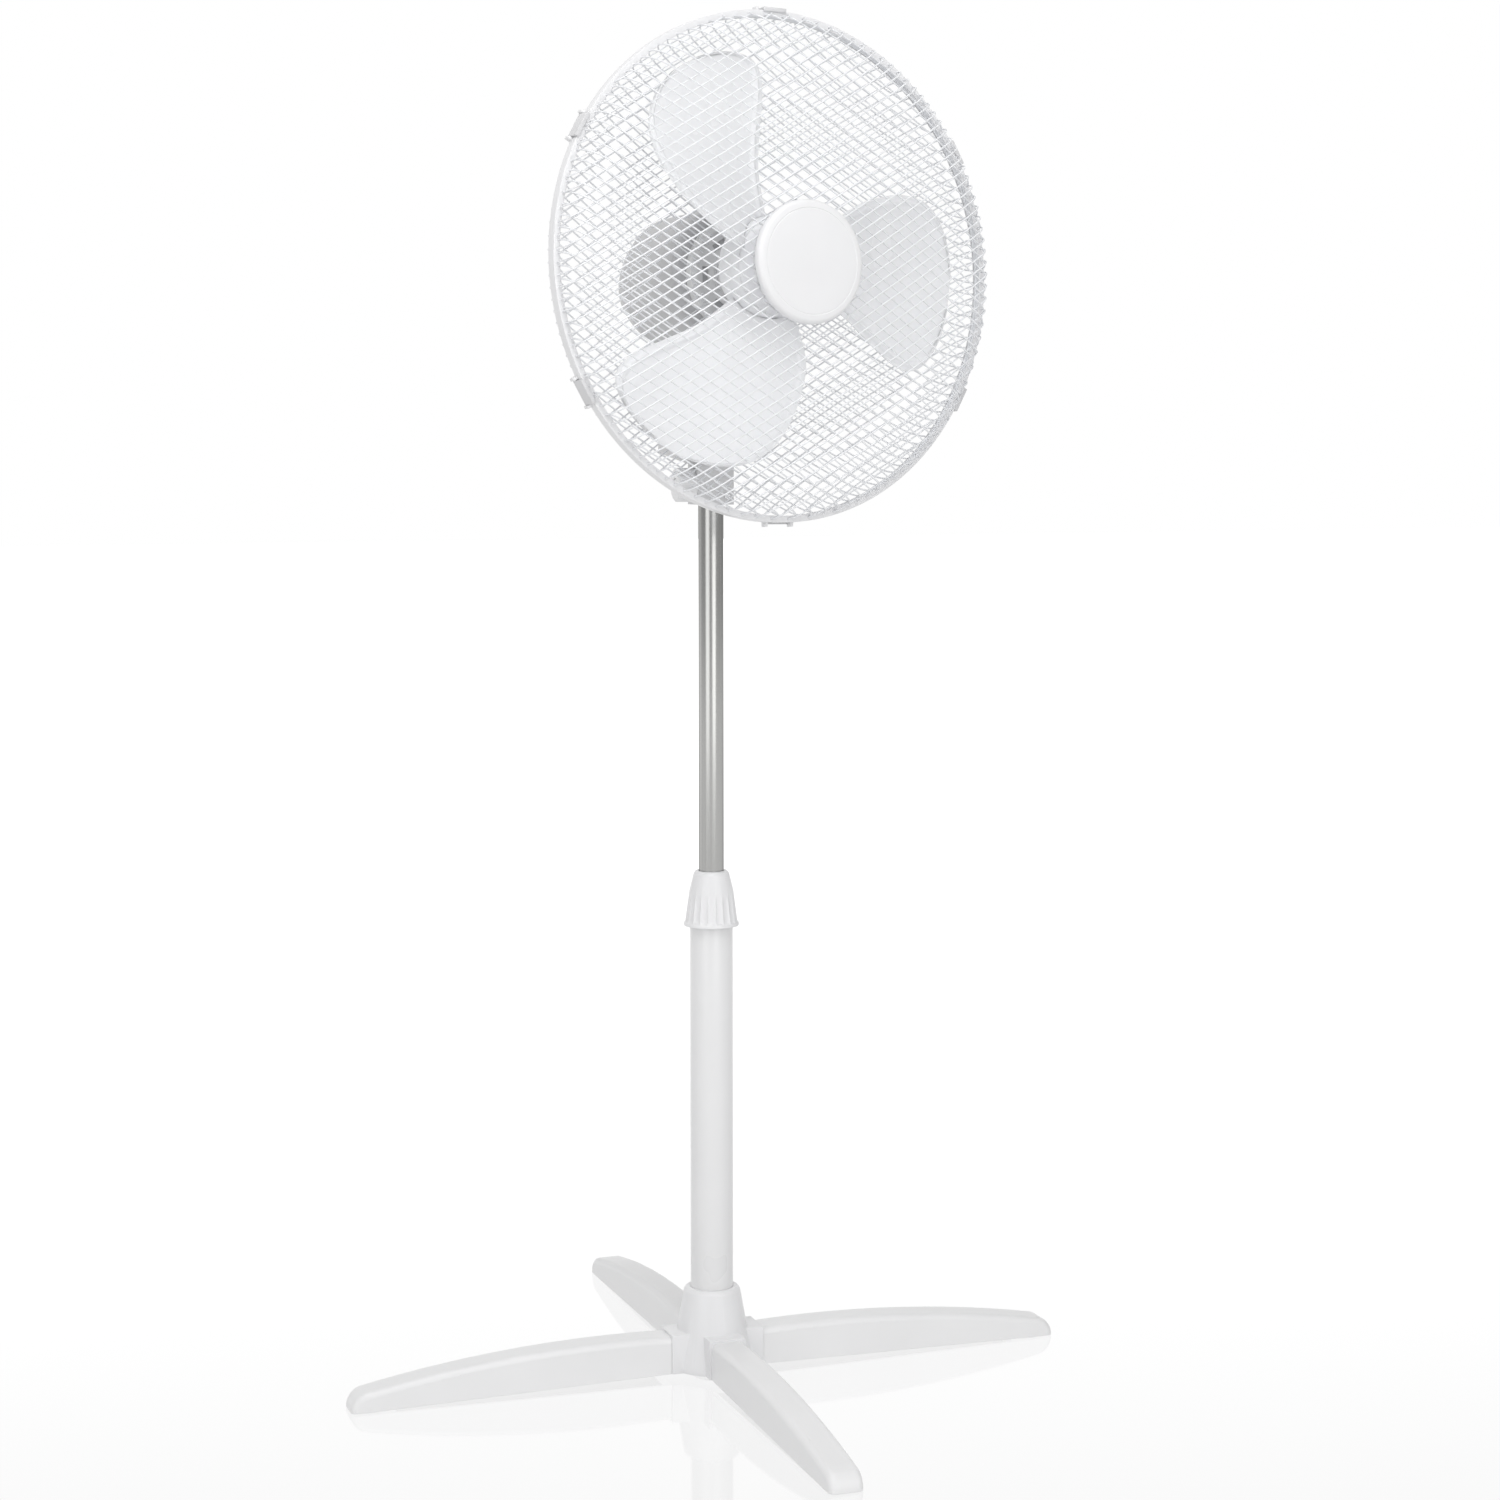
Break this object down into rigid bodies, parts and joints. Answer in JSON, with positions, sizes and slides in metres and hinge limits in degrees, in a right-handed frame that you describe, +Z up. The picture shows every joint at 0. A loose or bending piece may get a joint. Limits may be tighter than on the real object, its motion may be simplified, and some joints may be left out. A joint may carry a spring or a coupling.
{
  "type": "pedestal fan",
  "caption": "Upright floor fan with a caged tilting and oscillating head on an adjustable pole and a cross of arched legs.",
  "frame": {"origin": "on the floor under the centre of the pole", "axes": "+Z up along the pole; -Y is the front of the stand and of the control box"},
  "size_m": [0.664, 0.664, 1.1908],
  "materials": {
    "white_plastic": "satin moulded",
    "inner_plastic": "matt moulded",
    "painted_tube": "powder coated",
    "coated_wire": "powder coated",
    "brushed_tube": "polished lengthwise",
    "pad_rubber": "matt",
    "blade_plastic": "milky translucent",
    "bright_steel": "zinc plated",
    "cast_metal": "as cast",
    "lamination": "stacked sheet",
    "winding_wire": "varnished copper",
    "bearing_brass": "sintered"
  },
  "bodies": {
    "stand": {"base_hub": "white_plastic", "leg_right": "white_plastic", "leg_back": "white_plastic", "leg_left": "white_plastic", "leg_front": "white_plastic", "leg_pads": "pad_rubber", "outer_tube": "painted_tube", "tube_plug": "inner_plastic", "hub_screw": "bright_steel", "collet_sleeve": "inner_plastic"},
    "height_clamp": {"height_ring": "white_plastic"},
    "mast": {"inner_tube": "brushed_tube", "guide_bush": "inner_plastic", "box_front": "white_plastic", "box_rear": "white_plastic", "mast_head": "cast_metal", "switch_block": "inner_plastic", "cord_gland": "white_plastic", "box_screws": "bright_steel", "tilt_bolt": "bright_steel"},
    "neck_clamp": {"clamp_knob": "white_plastic", "clamp_screw": "bright_steel"},
    "neck": {"tilt_bracket": "cast_metal", "bracket_pins": "bright_steel"},
    "link": {"swing_link": "bright_steel"},
    "head": {"motor_housing_front": "white_plastic", "motor_housing_rear": "white_plastic", "swivel_bush": "inner_plastic", "stator_core": "lamination", "stator_windings": "winding_wire", "motor_frame_front": "cast_metal", "motor_frame_rear": "cast_metal", "motor_bearings": "bearing_brass", "gearbox_case": "inner_plastic", "housing_screws": "bright_steel", "front_guard": "coated_wire", "rear_guard": "coated_wire", "rear_guard_plate": "white_plastic", "guard_nut": "white_plastic", "badge_plate": "white_plastic", "badge": "white_plastic", "badge_screws": "bright_steel", "rim_band": "white_plastic", "clip_pins": "bright_steel", "rim_screw": "bright_steel"},
    "rotor": {"rotor_core": "lamination", "motor_shaft": "bright_steel", "fan_blade": "blade_plastic", "spinner_nut": "white_plastic"},
    "crank": {"crank_disc": "bright_steel"},
    "swing_pull": {"oscillation_knob": "white_plastic"},
    "off_key": {"button_off": "white_plastic"},
    "low_key": {"button_low": "white_plastic"},
    "medium_key": {"button_medium": "white_plastic"},
    "high_key": {"button_high": "white_plastic"},
    "clip_top": {"rim_clip_top": "white_plastic"},
    "clip_upper_left": {"rim_clip_upper_left": "white_plastic"},
    "clip_lower_left": {"rim_clip_lower_left": "white_plastic"},
    "clip_lower_right": {"rim_clip_lower_right": "white_plastic"},
    "clip_upper_right": {"rim_clip_upper_right": "white_plastic"}
  },
  "joints": [
    {"name": "height_slide", "type": "slide", "parent": "stand", "child": "mast", "axis": [0, 0, 1], "range_m": [-0.2, 0]},
    {"name": "height_ring_turn", "type": "hinge", "parent": "stand", "child": "height_clamp", "pos_m": [0, 0, 0.43], "axis": [0, 0, 1], "range_deg": [0, 180]},
    {"name": "neck_clamp_turn", "type": "hinge", "parent": "mast", "child": "neck_clamp", "pos_m": [-0.0245, 0, 0.794], "axis": [-1, 0, 0], "range_deg": [0, 360]},
    {"name": "tilt", "type": "hinge", "parent": "mast", "child": "neck", "pos_m": [0, 0, 0.89], "axis": [-1, 0, 0], "range_deg": [-13, 17]},
    {"name": "swing", "type": "hinge", "parent": "neck", "child": "head", "pos_m": [0, 0.00076, 0.90408], "axis": [0, 0.0541, 0.9985], "range_deg": [-52, 28]},
    {"name": "link_swing", "type": "hinge", "parent": "neck", "child": "link", "pos_m": [0.018, 0.01868, 0.90201], "axis": [0, 0.0541, 0.9985], "range_deg": [-68, 37]},
    {"name": "blade_spin", "type": "hinge", "parent": "head", "child": "rotor", "pos_m": [0, 0.00433, 0.96988], "axis": [0.2079, -0.9767, 0.0529], "continuous": true},
    {"name": "crank_turn", "type": "hinge", "parent": "head", "child": "crank", "pos_m": [-0.01289, 0.06218, 0.91668], "axis": [0, 0.0541, 0.9985], "continuous": true},
    {"name": "swing_pull_slide", "type": "slide", "parent": "head", "child": "swing_pull", "axis": [0, 0.0541, 0.9985], "range_m": [0, 0.006]},
    {"name": "button_off_press", "type": "slide", "parent": "mast", "child": "off_key", "axis": [0, 1, 0], "range_m": [0, 0.004], "stiffness_N_per_m": 350},
    {"name": "button_low_press", "type": "slide", "parent": "mast", "child": "low_key", "axis": [0, 1, 0], "range_m": [0, 0.004], "stiffness_N_per_m": 350},
    {"name": "button_medium_press", "type": "slide", "parent": "mast", "child": "medium_key", "axis": [0, 1, 0], "range_m": [0, 0.004], "stiffness_N_per_m": 350},
    {"name": "button_high_press", "type": "slide", "parent": "mast", "child": "high_key", "axis": [0, 1, 0], "range_m": [0, 0.004], "stiffness_N_per_m": 350},
    {"name": "clip_top_hinge", "type": "hinge", "parent": "head", "child": "clip_top", "pos_m": [0.02133, -0.0844, 1.1873], "axis": [-0.9781, -0.2076, 0.0112], "range_deg": [0, 100]},
    {"name": "clip_upper_left_hinge", "type": "hinge", "parent": "head", "child": "clip_upper_left", "pos_m": [-0.15851, -0.12831, 1.08337], "axis": [-0.4891, -0.1506, -0.8591], "range_deg": [0, 100]},
    {"name": "clip_lower_left_hinge", "type": "hinge", "parent": "head", "child": "clip_lower_left", "pos_m": [-0.15851, -0.1398, 0.87138], "axis": [0.4891, 0.057, -0.8704], "range_deg": [0, 100]},
    {"name": "clip_lower_right_hinge", "type": "hinge", "parent": "head", "child": "clip_lower_right", "pos_m": [0.20117, -0.06345, 0.86725], "axis": [0.4891, 0.1506, 0.8591], "range_deg": [0, 100]},
    {"name": "clip_upper_right_hinge", "type": "hinge", "parent": "head", "child": "clip_upper_right", "pos_m": [0.20117, -0.05197, 1.07924], "axis": [-0.4891, -0.057, 0.8704], "range_deg": [0, 100]}
  ],
  "couplings": [
    {"joint": "link_swing", "follows": "swing", "ratio": 1.27}
  ]
}
